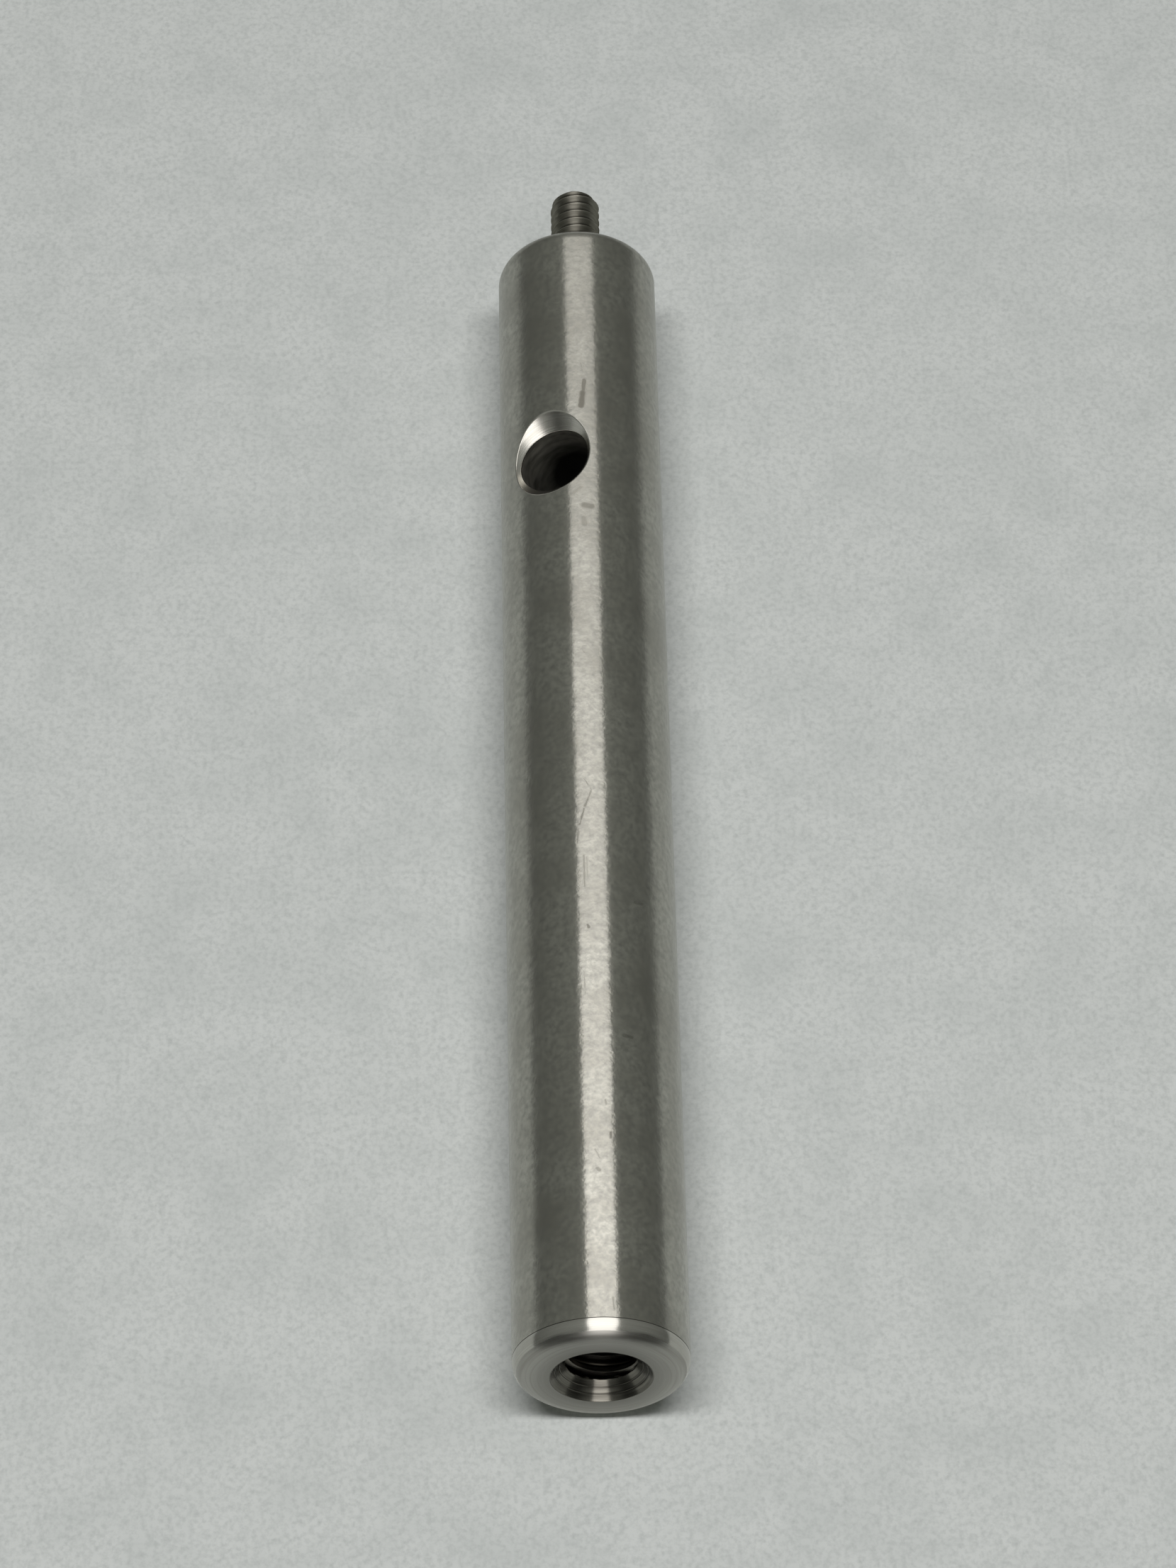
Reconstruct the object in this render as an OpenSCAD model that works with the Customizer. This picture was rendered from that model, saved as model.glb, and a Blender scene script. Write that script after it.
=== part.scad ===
// Optical post: a ground bar that stands on its tapped base. A cross hole takes
// the tightening rod, and a removable set screw in the upper end is the stud.
// Millimetres. The axis is Z, with the base face at z = 0 and the stud on top.

/* [Bar] */

// Diameter of the ground bar
body_d = 12.7; // [11:0.1:20]
// Length of the bar from end face to end face
body_length = 101.6; // [60:0.1:250]
// Radius turned on the rim of the tapped base
base_rim_r = 1.3; // [0.2:0.05:2]
// Radius turned on the rim of the stud end
stud_rim_r = 1.3; // [0.2:0.05:2]

/* [Tapped base] */

// Bore of the base thread, measured across its crests
base_bore_d = 5.1; // [4:0.05:6]
// Depth of the base bore at full diameter
base_bore_depth = 15; // [8:0.5:30]
// Mouth of the countersink that leads into the base thread
base_csk_d = 7.3; // [6.2:0.05:8.5]
// Included angle of the base countersink
base_csk_angle = 82; // [60:1:120]

/* [Stud hole] */

// Depth of the thread that holds the set screw
stud_thread_depth = 13.2; // [8:0.1:15]
// Tap drill left below the end of that thread
stud_drill_d = 3.45; // [2.5:0.05:3.9]
// How far the tap drill runs past the end of the thread
stud_drill_extra = 1.4; // [0.5:0.1:3]
// Width of the bevel at the mouth of the stud hole
stud_mouth_bevel = 0.2; // [0.05:0.05:0.5]

/* [Cross hole] */

// Bore of the hole across the bar
cross_bore_d = 5.7; // [4:0.1:6.5]
// Distance from the stud end face down to the axis of the cross hole
cross_from_top = 22.9; // [21.5:0.1:60]
// Countersink of the cross hole, measured along the crest of the bar
cross_csk_d = 8.1; // [7:0.1:9]
// Included angle of the countersinks on the cross hole
cross_csk_angle = 90; // [80:1:100]

/* [Set screw] */

// Outside diameter of the set screw over its thread
screw_d = 4.1; // [3:0.05:5]
// Length of the set screw
screw_length = 12.7; // [10:0.1:20]
// How far the set screw stands out of the bar
screw_reach = 7.9375; // [5:0.0125:9]
// Bevel on the outer end of the set screw
screw_tip_bevel = 0.6; // [0.2:0.05:0.65]
// Bevel on the inner end of the set screw
screw_foot_bevel = 0.5; // [0.2:0.05:0.8]
// Diameter of the cup in the inner end
screw_cup_d = 2.1; // [1:0.05:2.5]
// Width across the flats of the hexagon socket
hex_width = 1.98; // [1.2:0.02:2.2]
// Depth of the hexagon socket
hex_depth = 2.4; // [1.5:0.1:4]
// Mouth of the lead-in cone on the socket
hex_mouth_d = 2.5; // [2.4:0.05:2.7]
// Play between the set screw and the thread of its hole, on the radius
thread_clearance = 0.05; // [0.01:0.01:0.1]

/* [Drilling] */

// Included angle of the twist drills that made the blind holes
drill_point_angle = 118; // [90:1:140]

/* [Hidden] */

$fn = 96;

// How far a cutter runs past the face that it opens
cutter_overrun = 1;

steel = [0.66, 0.66, 0.64];
screw_steel = [0.50, 0.48, 0.45];

body_r = body_d / 2;
base_bore_r = base_bore_d / 2;
base_csk_r = base_csk_d / 2;

screw_r = screw_d / 2;
screw_foot_z = body_length + screw_reach - screw_length;
stud_bore_r = screw_r + thread_clearance;
stud_drill_r = stud_drill_d / 2;

cross_bore_r = cross_bore_d / 2;
cross_z = body_length - cross_from_top;
cross_csk_slope = tan(cross_csk_angle / 2);
cross_csk_depth = (cross_csk_d / 2 - cross_bore_r) / cross_csk_slope;

// Depth of a cone that narrows by dr on the radius at an included angle
function cone_depth(dr, angle) = dr / tan(angle / 2);

// What a form tool takes off a square rim to leave a radius r. The rim's corner
// is the origin, with the bar to the left and above it.
module rim_waste(r) {
    difference() {
        translate([-r, -cutter_overrun])
            square([r + cutter_overrun, r + cutter_overrun]);
        translate([-r, r]) circle(r);
    }
}

// Half section of the solid bar with both of its rims rounded
module bar_section() {
    difference() {
        square([body_r, body_length]);
        translate([body_r, 0]) rim_waste(base_rim_r);
        translate([body_r, body_length]) mirror([0, 1]) rim_waste(stud_rim_r);
    }
}

// Half section of the base hole: countersink, bore and drill point
module base_hole_section() {
    csk_depth = cone_depth(base_csk_r - base_bore_r, base_csk_angle);
    polygon([
        [0, -cutter_overrun],
        [base_csk_r, -cutter_overrun],
        [base_csk_r, 0],
        [base_bore_r, csk_depth],
        [base_bore_r, base_bore_depth],
        [0, base_bore_depth + cone_depth(base_bore_r, drill_point_angle)]
    ]);
}

// Half section of the stud hole, drawn downwards from the end face: bevel,
// thread, the run-out of the tap, the rest of its drill and the drill point
module stud_hole_section() {
    mouth_r = stud_bore_r + stud_mouth_bevel;
    thread_end = stud_thread_depth;
    runout_end = thread_end + stud_bore_r - stud_drill_r;
    drill_end = runout_end + stud_drill_extra;
    polygon([
        [0, cutter_overrun],
        [mouth_r, cutter_overrun],
        [mouth_r, 0],
        [stud_bore_r, -stud_mouth_bevel],
        [stud_bore_r, -thread_end],
        [stud_drill_r, -runout_end],
        [stud_drill_r, -drill_end],
        [0, -drill_end - cone_depth(stud_drill_r, drill_point_angle)]
    ]);
}

// The hole right across the bar, countersunk from both sides
module cross_hole() {
    translate([0, 0, cross_z])
        rotate([90, 0, 0]) {
            cylinder(r = cross_bore_r, h = body_d + 2 * cutter_overrun, center = true);
            for (side = [0, 1])
                mirror([0, 0, side])
                    translate([0, 0, body_r - cross_csk_depth])
                        cylinder(
                            r1 = cross_bore_r,
                            r2 = cross_bore_r + (cross_csk_depth + cutter_overrun) * cross_csk_slope,
                            h = cross_csk_depth + cutter_overrun
                        );
        }
}

// Half section of the set screw over the crests of its thread, standing on its
// cupped inner end, with the lead-in cone of the socket at the top
module screw_section() {
    mouth_r = hex_mouth_d / 2;
    hex_flat_r = hex_width / 2;
    polygon([
        [0, cone_depth(screw_cup_d / 2, drill_point_angle)],
        [screw_cup_d / 2, 0],
        [screw_r - screw_foot_bevel, 0],
        [screw_r, screw_foot_bevel],
        [screw_r, screw_length - screw_tip_bevel],
        [screw_r - screw_tip_bevel, screw_length],
        [mouth_r, screw_length],
        [hex_flat_r, screw_length - (mouth_r - hex_flat_r)],
        [0, screw_length - (mouth_r - hex_flat_r)]
    ]);
}

// The hexagon socket and the point that its drill left below it
module hex_socket() {
    translate([0, 0, screw_length - hex_depth]) {
        cylinder(d = hex_width / cos(30), h = hex_depth + cutter_overrun, $fn = 6);
        rotate_extrude()
            polygon([
                [0, -cone_depth(hex_width / 2, drill_point_angle)],
                [hex_width / 2, 0],
                [0, 0]
            ]);
    }
}

// The turned, drilled and ground bar
module post() {
    color(steel)
        difference() {
            rotate_extrude() bar_section();
            rotate_extrude() base_hole_section();
            translate([0, 0, body_length]) rotate_extrude() stud_hole_section();
            cross_hole();
        }
}

// The removable socket set screw whose free end is the stud
module set_screw() {
    color(screw_steel)
        translate([0, 0, screw_foot_z])
            difference() {
                rotate_extrude() screw_section();
                hex_socket();
            }
}

post();
set_screw();
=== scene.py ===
"""Looks of a stainless steel optical post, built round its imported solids.

The post stands on its tapped base at the origin, with its axis along +Z and its
cross hole along +Y. Sizes in the classes are millimetres, and MM turns them into
the metres of the frame.
"""

from __future__ import annotations

import cmath
import logging
import math
from dataclasses import dataclass
from enum import Enum
from typing import Any, Callable, Sequence

import bpy
import numpy as np
from mathutils import Matrix, Vector


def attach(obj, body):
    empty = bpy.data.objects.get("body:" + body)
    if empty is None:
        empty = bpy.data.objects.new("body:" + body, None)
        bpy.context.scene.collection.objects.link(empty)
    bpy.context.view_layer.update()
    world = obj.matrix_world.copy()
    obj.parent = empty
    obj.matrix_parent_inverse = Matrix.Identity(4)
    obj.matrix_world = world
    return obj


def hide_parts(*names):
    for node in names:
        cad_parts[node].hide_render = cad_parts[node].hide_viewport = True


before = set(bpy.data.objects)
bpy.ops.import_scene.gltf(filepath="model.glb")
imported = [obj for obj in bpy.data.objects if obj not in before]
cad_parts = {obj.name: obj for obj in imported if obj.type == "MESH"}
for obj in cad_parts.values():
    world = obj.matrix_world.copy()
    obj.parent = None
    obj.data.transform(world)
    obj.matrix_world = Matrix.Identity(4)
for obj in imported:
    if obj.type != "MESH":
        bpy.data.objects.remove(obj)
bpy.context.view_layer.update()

MM = 0.001
# Points of a mesh closer than this, in millimetres, are one point
WELD = 1e-5
FULL_TURN = 2.0 * math.pi
# Edges that turn more than this stay crisp where a surface has no normals of its own
CRISP_ANGLE = math.radians(24.0)
# Spans in an arc that is too small to need more
ARC_STEPS = 4
# Octaves in the noise of a fine pattern and of a cloudy one, and how strong each
# octave is beside the one before
FINE_DETAIL = 2.0
CLOUD_DETAIL = 3.0
OCTAVE_SHARE = 0.6
# Turns a lamp that shines onto the bench so that it shines down along the post
LEVEL = Matrix(((1.0, 0.0, 0.0), (0.0, 0.0, 1.0), (0.0, -1.0, 0.0)))

log = logging.getLogger("optical_post")

Profile = Sequence[tuple[float, float, float]]
Array = np.ndarray
Material = bpy.types.Material
Object = bpy.types.Object
Socket = bpy.types.NodeSocket
Tree = bpy.types.NodeTree


class Body(Enum):
    """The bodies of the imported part."""

    BAR = "bar"
    STUD_SCREW = "stud_screw"


class Node(Enum):
    """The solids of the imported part."""

    POST = "post"
    SET_SCREW = "set_screw"


class Slot(Enum):
    """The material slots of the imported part."""

    BAR = "stainless_bar"
    SCREW = "stainless_screw"


class Sight(Enum):
    """What a sheet or a lamp of the studio can be hidden from."""

    CAMERA = "visible_camera"
    MATT = "visible_diffuse"
    METAL = "visible_glossy"
    GLASS = "visible_transmission"
    SHADOW = "visible_shadow"


def hide(thing: Object, *sights: Sight) -> None:
    """Hide a sheet or a lamp from some kinds of ray."""
    for sight in sights:
        setattr(thing, sight.value, False)


def linear(hex_colour: str) -> tuple[float, float, float, float]:
    """Turn an sRGB colour into the linear one that shaders take.

    Args:
        hex_colour: six hexadecimal digits, with or without a leading #.

    Returns:
        Linear red, green and blue, and an alpha of one.
    """
    digits = hex_colour.lstrip("#")
    channels = [int(digits[i : i + 2], 16) / 255.0 for i in (0, 2, 4)]
    values = [c / 12.92 if c <= 0.04045 else ((c + 0.055) / 1.055) ** 2.4 for c in channels]
    return (values[0], values[1], values[2], 1.0)


def put(tree: Tree, kind: str, inputs: dict[Any, Any] | Sequence[Any] = (), **options: Any) -> Any:
    """Add a shader node with its options set and its inputs filled.

    Args:
        tree: the node tree that takes the node.
        kind: the node's type, without its ShaderNode prefix.
        inputs: values or other nodes' outputs, in the order of the inputs or under their names.
        **options: properties of the node itself.

    Returns:
        The node's outputs, by name or number.
    """
    node = tree.nodes.new("ShaderNode" + kind)
    for option, value in options.items():
        setattr(node, option, value)
    for key, value in inputs.items() if isinstance(inputs, dict) else enumerate(inputs):
        if isinstance(value, Socket):
            tree.links.new(value, node.inputs[key])
        else:
            node.inputs[key].default_value = value
    return node.outputs


def lay(tree: Tree, colour: Any, other: str, share: Socket, ends: tuple[float, float]) -> Socket:
    """Lay a second colour over a first one where a pattern is high.

    Args:
        tree: takes the nodes.
        colour: the first colour, linear, or the output that gives it.
        other: the second colour, in hexadecimal digits.
        share: the output of the pattern.
        ends: the pattern's values where the second colour starts and where it is whole.

    Returns:
        The output of the mixed colour.
    """
    part = put(tree, "MapRange", {"Value": share, "From Min": ends[0], "From Max": ends[1]})[0]
    # A mix takes its two colours in inputs 6 and 7, and gives the mixed one in output 2
    return put(tree, "Mix", {0: part, 6: colour, 7: linear(other)}, data_type="RGBA")[2]


def new_tree(name: str) -> tuple[Material, Tree]:
    """Make an empty material.

    Args:
        name: the material's name.

    Returns:
        The material and its cleared node tree.
    """
    material = bpy.data.materials.new(name)
    material.use_nodes = True
    material.node_tree.nodes.clear()
    return material, material.node_tree


def azimuths(columns: int) -> Array:
    """Give the azimuths of a full turn, with the last on the first."""
    return np.arange(columns + 1) % columns * FULL_TURN / columns


def polar(radius: Any, angle: Array, height: Any) -> Array:
    """Give the points at a distance from the Z axis, an azimuth and a height."""
    radius, angle, height = np.broadcast_arrays(radius, angle, height)
    return np.stack([radius * np.cos(angle), radius * np.sin(angle), height], axis=-1)


def outline(corners: Profile, steps: int) -> Array:
    """Draw a turned profile with an arc at each of its corners.

    The metal lies to the left of the way that the profile runs.

    Args:
        corners: radius, height and fillet of each corner, in order.
        steps: spans in each arc.

    Returns:
        The points and their normals, as rows of radius and height.
    """
    spots = [complex(radius, height) for radius, height, _ in corners]
    ways = [(b - a) / abs(b - a) for a, b in zip(spots, spots[1:])]
    sides = [way * -1j for way in ways]
    points = [spots[0]]
    normals = [sides[0]]
    for i in range(1, len(spots) - 1):
        fillet = corners[i][2]
        turn = cmath.phase(sides[i] / sides[i - 1])
        start = spots[i] - ways[i - 1] * fillet * math.tan(abs(turn) / 2.0)
        for step in range(steps + 1):
            normal = sides[i - 1] * cmath.rect(1.0, turn * step / steps)
            points.append(start + (normal - sides[i - 1]) * math.copysign(fillet, turn))
            normals.append(normal)
    rows = np.array([[*points, spots[-1]], [*normals, sides[-1]]])
    return np.stack([rows.real, rows.imag], axis=-1)


def turned(corners: Profile, columns: int, steps: int = ARC_STEPS) -> tuple[Array, Array]:
    """Turn a profile about the Z axis.

    Args:
        corners: radius, height and fillet of each corner, in order.
        columns: spans round the axis.
        steps: spans in each arc of the profile.

    Returns:
        Grids of points and of normals, with the last column on the first.
    """
    points, normals = (polar(row[:, :1], azimuths(columns), row[:, 1:]) for row in outline(corners, steps))
    return points, normals


class Shell:
    """A closed mesh gathered from grids of points."""

    def __init__(self) -> None:
        """Start with nothing."""
        self._points: list[Array] = []
        self._quads: list[Array] = []
        self._normals: list[Array] = []
        self._finishes: list[Array] = []
        self._count = 0

    def add(self, points: Array, finish: Enum, normals: Array | None = None, inward: bool = False) -> None:
        """Add a grid of points as a part of the surface.

        Args:
            points: rows by columns of points.
            finish: its finish, whose value is the number of its material.
            normals: a normal for each point, or None where Blender works them out.
            inward: without normals, True turns the faces over, as a hole needs.
        """
        rows, columns = points.shape[:2]
        index = np.arange(rows * columns).reshape(rows, columns)
        around = [index[:-1, :-1], index[:-1, 1:], index[1:, 1:], index[1:, :-1]]
        quads = np.stack(around, axis=-1).reshape(-1, 4)
        flat = points.reshape(-1, 3)
        if normals is None:
            corner_normals = np.zeros((len(quads), 4, 3))
        else:
            corner_normals = normals.reshape(-1, 3)[quads]
            diagonals = flat[quads[:, 2:]] - flat[quads[:, :2]]
            face = np.cross(diagonals[:, 0], diagonals[:, 1])
            inward = float(np.sum(face * corner_normals.sum(axis=1))) < 0
        if inward:
            quads = quads[:, ::-1]
            corner_normals = corner_normals[:, ::-1]
        self._points.append(flat)
        self._quads.append(quads + self._count)
        self._normals.append(corner_normals)
        self._finishes.append(np.full(len(quads), finish.value))
        self._count += len(flat)

    def build(self, name: str, materials: Sequence[Material]) -> Object:
        """Weld the grids into one mesh object.

        Args:
            name: the piece's name.
            materials: the materials, in the order of their numbers.

        Returns:
            The object, linked to the scene.
        """
        points = np.concatenate(self._points)
        quads = np.concatenate(self._quads)
        normals = np.concatenate(self._normals)
        finishes = np.concatenate(self._finishes)
        places = np.round(points / WELD).astype(np.int64)
        _, first, index = np.unique(places, axis=0, return_index=True, return_inverse=True)
        quads = index.reshape(-1)[quads]
        # A face keeps its corners that differ, and is dropped with fewer than three
        corners = quads != np.roll(quads, -1, axis=1)
        whole = (corners.sum(axis=1) > 2) & np.all(quads[:, :2] != quads[:, 2:], axis=1)
        corners, quads = corners[whole], quads[whole]
        mesh = bpy.data.meshes.new(name)
        mesh.from_pydata(points[first] * MM, [], [quad[kept].tolist() for quad, kept in zip(quads, corners)])
        mesh.polygons.foreach_set("material_index", finishes[whole])
        for material in materials:
            mesh.materials.append(material)
        mesh.shade_smooth()
        mesh.set_sharp_from_angle(angle=CRISP_ANGLE)
        mesh.normals_split_custom_set(normals[whole][corners].tolist())
        piece = bpy.data.objects.new(name, mesh)
        bpy.context.scene.collection.objects.link(piece)
        return piece


@dataclass(frozen=True)
class ScrewThread:
    """A 60 degree thread, right-handed, about the Z axis."""

    pitch: float
    # Radii of the two flats that the flanks join
    near_radius: float
    far_radius: float
    # Width of the flat at near_radius, as a share of the pitch
    near_flat: float
    # Where rows of the mesh run, as shares of the pitch from the middle of that flat
    rows: tuple[float, ...]
    # Width over which the far corner is rounded, as a share of the pitch
    rounding: float
    # Height of one middle of the near flat at an azimuth of nought
    lift: float = 0.0
    half_angle: float = 30.0

    def radius(self, share: Array) -> Array:
        """Give the thread's radius.

        Args:
            share: distances from the middle of a near flat, as shares of the pitch.

        Returns:
            The radius at each of them.
        """
        off = np.abs((share + 0.5) % 1.0 - 0.5)
        outwards = math.copysign(1.0, self.far_radius - self.near_radius)
        slope = outwards * self.pitch / math.tan(math.radians(self.half_angle))
        flank = self.near_radius + slope * np.clip(off - self.near_flat / 2.0, 0.0, None)
        depth = np.clip(0.5 - off, 0.0, self.rounding) ** 2 * self.pitch / self.rounding / 2.0
        blunt = self.far_radius - outwards * depth
        return np.minimum(flank, blunt) if outwards > 0 else np.maximum(flank, blunt)

    def grid(self, low: float, high: float, columns: int, limit: Callable[[Array, Array], Array]) -> Array:
        """Lay rows of points along the helix between two heights.

        Args:
            low: height of the lower ring that closes the thread.
            high: height of the upper ring.
            columns: spans round the axis.
            limit: gives the real radius from the thread's radius and the height.

        Returns:
            A grid of points whose last column meets the first one turn on.
        """
        # Whole turns run past both rings, which cut them off
        start = math.floor((low - self.lift) / self.pitch) - 2
        turns = math.ceil((high - self.lift) / self.pitch) + 1 - start
        shares = np.array([turn + row for turn in range(turns + 1) for row in self.rows])
        around = np.arange(columns + 1)
        rise = (shares[:, None] + around[None] / columns + start) * self.pitch + self.lift
        height = np.clip(rise, low, high)
        lead = (height - self.lift) / self.pitch - around[None] / columns
        return polar(limit(self.radius(lead), height), azimuths(columns), height)


def cone_depth(drop: float, angle: float) -> float:
    """Give the depth over which a cone of that included angle narrows by drop."""
    return drop / math.tan(math.radians(angle / 2.0))


class PostFinish(Enum):
    """The numbers of the bar's finishes."""

    GROUND = 0
    RIM = 1
    FACED = 2
    SUNK = 3
    CROSS_SUNK = 4
    DRILLED = 5
    TAPPED = 6
    TOOL_LINE_SHADE = 7


class ScrewFinish(Enum):
    """The numbers of the set screw's finishes."""

    ROLLED = 0
    BROACHED = 1


@dataclass
class Post:
    """The bar: ground outside, tapped in its base, drilled across, one piece."""

    radius: float = 6.35
    length: float = 101.6
    base_rim: float = 1.3
    stud_rim: float = 1.3
    # Tapped base, with a 1/4-20 thread whose crests are the drilled bore
    bore_radius: float = 2.55
    thread: ScrewThread = ScrewThread(
        pitch=1.27,
        near_radius=2.55,
        far_radius=3.175,
        near_flat=0.25,
        rows=(0.0, 0.125, 0.2, 0.28, 0.36, 0.42, 0.47, 0.53, 0.58, 0.64, 0.72, 0.8, 0.875),
        rounding=0.09,
        lift=0.33,
    )
    bore_depth: float = 15.0
    sink_radius: float = 3.65
    sink_angle: float = 82.0
    thread_start: float = 1.2
    thread_lead: float = 0.35
    thread_fade: float = 11.9
    thread_end: float = 13.4
    # Plain wall between the last grid of the thread and the drill point
    plain_wall: float = 0.5
    # Stud hole
    stud_mouth: float = 2.3
    stud_bore: float = 2.1
    stud_depth: float = 13.2
    stud_drill: float = 1.725
    stud_drill_extra: float = 1.4
    drill_angle: float = 118.0
    # Cross hole
    cross_height: float = 78.7
    cross_radius: float = 2.85
    cross_sink: float = 4.05
    cross_angle: float = 90.0
    # What the tools left on every edge, and how much of a broken edge's corner stays
    edge_break: float = 0.06
    edge_keep: float = 0.3
    drill_fillet: float = 0.1
    bore_fillet: float = 0.05
    mouth_fillet: float = 0.03
    # The line that the rim's form tool cut where it met the ground outside
    witness_depth: float = 0.02
    witness_width: float = 0.06
    witness_fillet: float = 0.01
    # Rings that the cutter left in the base's countersink
    ring_shares: tuple[float, ...] = (0.34, 0.67)
    ring_depth: float = 0.012
    ring_half_width: float = 0.035
    ring_fillet: float = 0.006
    # Spans in the arc of a rim
    rim_steps: int = 20
    # Spans round the bar, and the size of the patch that each mouth of the hole lies in
    columns: int = 256
    patch_columns: int = 28
    patch_rows: int = 48
    patch_height: float = 5.4
    patch_rings: int = 10

    def lathe(self, shell: Shell, corners: Profile, finish: PostFinish, steps: int = ARC_STEPS) -> None:
        """Turn a profile and add it in one finish."""
        points, normals = turned(corners, self.columns, steps)
        shell.add(points, finish, normals)

    def base_hole(self, shell: Shell) -> None:
        """Add the drilled, tapped and countersunk hole of the base.

        Args:
            shell: takes the grids.
        """
        slope = math.tan(math.radians(self.sink_angle / 2.0))
        apex = self.bore_depth + cone_depth(self.bore_radius, self.drill_angle)
        inner = self.bore_depth - self.plain_wall
        bore = (self.bore_radius, self.bore_depth, self.drill_fillet)
        self.lathe(shell, [(0.0, apex, 0.0), bore, (self.bore_radius, inner, 0.0)], PostFinish.DRILLED)

        def wall(radius: Array, height: Array) -> Array:
            """Let the thread start below the countersink, and let the tap run out.

            Args:
                radius: the whole thread's radius at each point.
                height: height of each point.

            Returns:
                The radius of the wall.
            """
            cone = self.sink_radius - height * slope
            fade = np.clip((height - self.thread_start) / self.thread_lead, 0.0, 1.0)
            fade *= np.clip((self.thread_end - height) / (self.thread_end - self.thread_fade), 0.0, 1.0)
            return np.maximum(cone, self.bore_radius + (radius - self.bore_radius) * fade)

        grid = self.thread.grid(self.thread_start, inner, self.columns, wall)
        shell.add(grid, PostFinish.TAPPED, inward=True)
        start = np.array([self.sink_radius - self.thread_start * slope, self.thread_start])
        fall = np.array([self.sink_radius, 0.0]) - start
        length = float(np.linalg.norm(fall))
        fall /= length
        into = np.array([-fall[1], fall[0]])
        mouth = [(float(start[0]), self.thread_start, 0.0)]
        for share in self.ring_shares:
            for side in (-1.0, 0.0, 1.0):
                depth = self.ring_depth * (1.0 - abs(side))
                spot = start + fall * (share * length + side * self.ring_half_width) + into * depth
                mouth.append((float(spot[0]), float(spot[1]), self.ring_fillet))
        mouth.append((self.sink_radius, 0.0, self.edge_break))
        mouth.append((self.sink_radius + self.edge_break, 0.0, 0.0))
        self.lathe(shell, mouth, PostFinish.SUNK)

    def base_end(self, shell: Shell) -> None:
        """Add the face and the rim of the base, and the tool's line above them.

        Args:
            shell: takes the grids.
        """
        corners = [
            (self.sink_radius + self.edge_break, 0.0, 0.0),
            (self.radius - self.base_rim, 0.0, 0.0),
            (self.radius, 0.0, self.base_rim),
            (self.radius, self.base_rim, 0.0),
        ]
        points, normals = turned(corners, self.columns, self.rim_steps)
        # The face's duller finish runs this far round the rim, so that this part looks darker as painted
        # shade; the form-turned finish takes the rest
        painted_shade_end = len(points) - 1 - self.rim_steps // 2
        shell.add(points[: painted_shade_end + 1], PostFinish.FACED, normals[: painted_shade_end + 1])
        shell.add(points[painted_shade_end:], PostFinish.RIM, normals[painted_shade_end:])
        line = self.base_rim + self.witness_width / 2.0
        witness = [
            (self.radius, self.base_rim, 0.0),
            (self.radius - self.witness_depth, line, self.witness_fillet),
            (self.radius, self.base_rim + self.witness_width, 0.0),
        ]
        # The tool's line takes a dark finish, which is painted shade of its groove
        self.lathe(shell, witness, PostFinish.TOOL_LINE_SHADE)

    def stud_end(self, shell: Shell) -> None:
        """Add the rim and the face of the stud end, and the hole for the stud.

        Args:
            shell: takes the grids.
        """
        top = self.length
        bevel_foot = top - (self.stud_mouth - self.stud_bore)
        runout = top - self.stud_depth - (self.stud_bore - self.stud_drill)
        floor = runout - self.stud_drill_extra
        low = (self.radius, top - self.stud_rim - self.witness_width, 0.0)
        shoulder = (self.radius - self.stud_rim, top, 0.0)
        rim = [low, (self.radius, top, self.stud_rim), shoulder]
        self.lathe(shell, rim, PostFinish.GROUND, self.rim_steps)
        mouth = (self.stud_mouth, top, self.mouth_fillet)
        self.lathe(shell, [shoulder, mouth, (self.stud_bore, bevel_foot, 0.0)], PostFinish.FACED)
        hole = [
            (self.stud_bore, bevel_foot, self.mouth_fillet),
            (self.stud_bore, top - self.stud_depth, self.bore_fillet),
            (self.stud_drill, runout, self.bore_fillet),
            (self.stud_drill, floor, self.drill_fillet),
            (0.0, floor - cone_depth(self.stud_drill, self.drill_angle), 0.0),
        ]
        self.lathe(shell, hole, PostFinish.DRILLED)

    def outside(self, shell: Shell) -> None:
        """Add the ground outside, apart from the patches round the cross hole.

        Args:
            shell: takes the grids.
        """
        low = self.base_rim + self.witness_width
        high = self.length - self.stud_rim - self.witness_width
        middle = np.linspace(-self.patch_height, self.patch_height, self.patch_rows + 1)
        middle = middle + self.cross_height
        quarter = self.columns // 4
        shut = np.arange(quarter + self.patch_columns, 3 * quarter - self.patch_columns + 1)
        around = np.arange(self.columns + 1)
        for heights, columns in (
            (np.array([low, middle[0]]), around),
            (np.array([middle[-1], high]), around),
            (middle, shut),
            (middle, shut + 2 * quarter),
        ):
            self.ground(shell, columns % self.columns * FULL_TURN / self.columns, heights[:, None])

    def ground(self, shell: Shell, angle: Array, height: Array) -> tuple[Array, Array]:
        """Add a grid of the ground outside.

        Args:
            shell: takes the grid.
            angle: azimuth of each point.
            height: height of each point.

        Returns:
            The points and their normals.
        """
        points = polar(self.radius, angle, height)
        normals = np.broadcast_to(polar(1.0, angle, 0.0), points.shape)
        shell.add(points, PostFinish.GROUND, normals)
        return points, normals

    def patch_edge(self) -> tuple[Array, Array]:
        """Walk once round the patch of a mouth.

        Returns:
            Azimuths from the middle of the patch, and heights above it.
        """
        half = (self.patch_columns * FULL_TURN / self.columns, self.patch_height)
        corners = np.array([(-1.0, 1.0), (1.0, 1.0), (1.0, -1.0), (-1.0, -1.0), (-1.0, 1.0)]) * half
        steps = (2 * self.patch_columns, self.patch_rows) * 2
        legs = [np.linspace(a, b, count, False) for a, b, count in zip(corners, corners[1:], steps)]
        turn, rise = np.concatenate([*legs, corners[:1]]).T
        return turn, rise

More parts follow.
